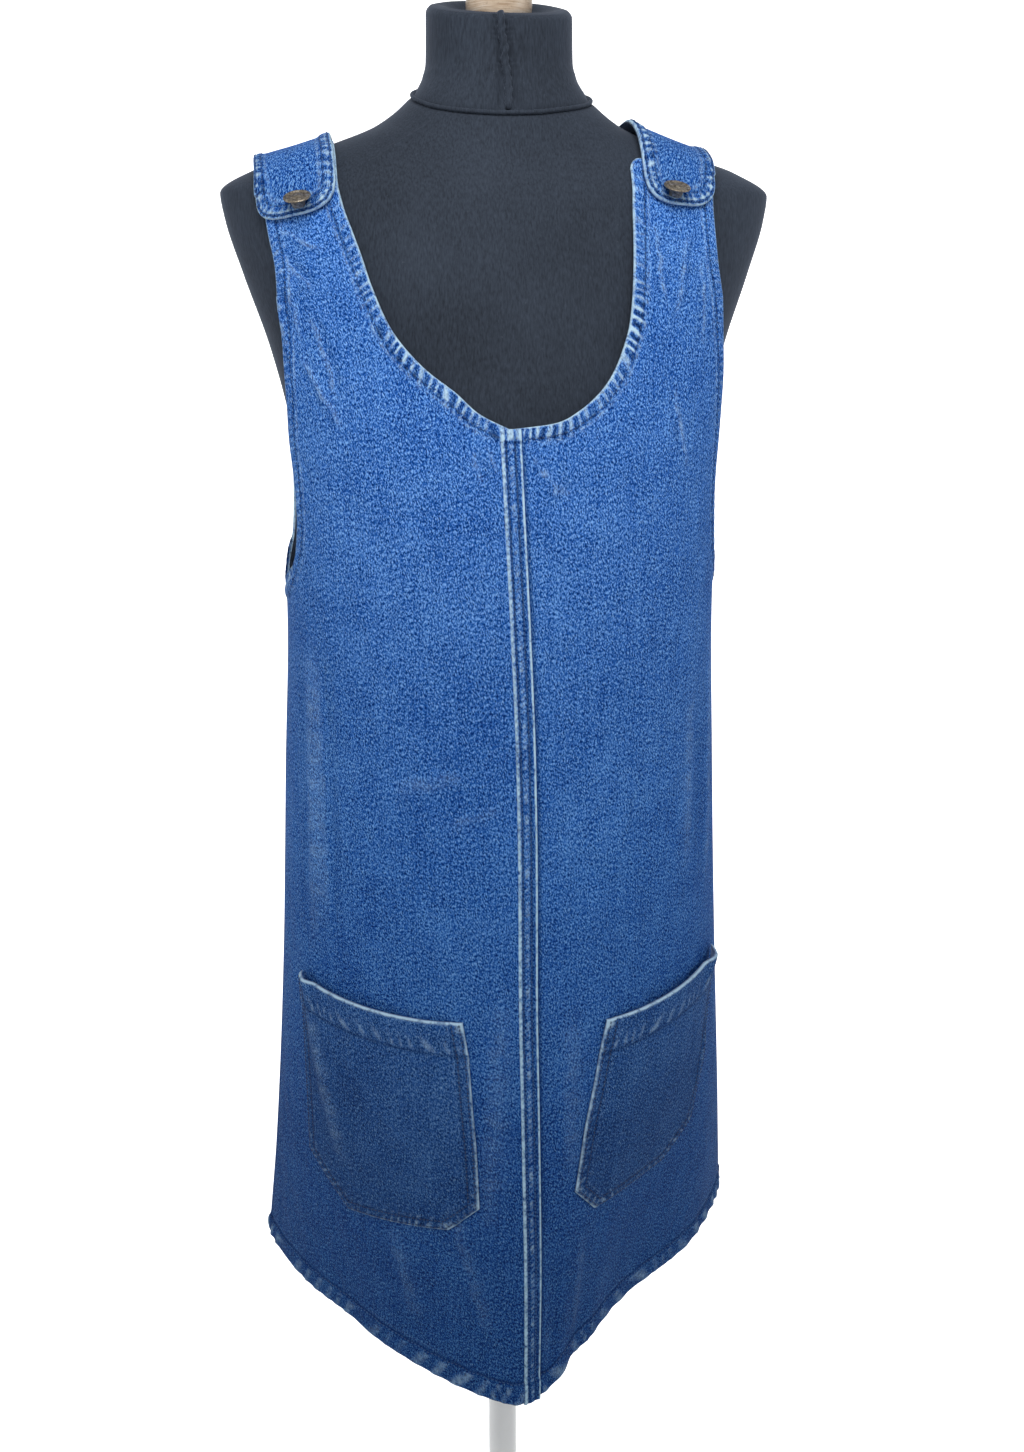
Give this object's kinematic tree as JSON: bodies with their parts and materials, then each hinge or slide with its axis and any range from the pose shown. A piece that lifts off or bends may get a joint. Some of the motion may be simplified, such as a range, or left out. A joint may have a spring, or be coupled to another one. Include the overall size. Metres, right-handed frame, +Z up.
{
  "type": "denim pinafore dress on a limbless dress form with a stand",
  "caption": "Sleeveless scoop-neck denim pinafore dress with straps buttoned over the shoulders and patch pockets, worn by a black jersey-covered dress form on a pole stand.",
  "frame": {"origin": "centre of the underside of the stand's round base, on the floor", "axes": "+Z up along the pole, -Y towards the front of the dress, +X towards the wearer's left"},
  "size_m": [0.41, 0.33, 1.444],
  "materials": {
    "denim": "washed mid-blue twill with pale worn edges",
    "pocket_denim": "darker blue twill with pale worn edges",
    "black_jersey": "matte fine knit",
    "turned_wood": "satin varnish",
    "aged_brass": "darkened, worn at the rim",
    "white_paint": "satin"
  },
  "bodies": {
    "root": {"front_panel_right": "denim", "front_panel_left": "denim", "back_panel_right": "denim", "back_panel_left": "denim", "centre_front_seam": "denim", "centre_back_seam": "denim", "pocket_right": "pocket_denim", "pocket_left": "pocket_denim", "button_right": "aged_brass", "button_left": "aged_brass", "dress_form": "black_jersey", "neck_cap": "turned_wood", "pole": "white_paint", "base": "white_paint"}
  },
  "joints": []
}
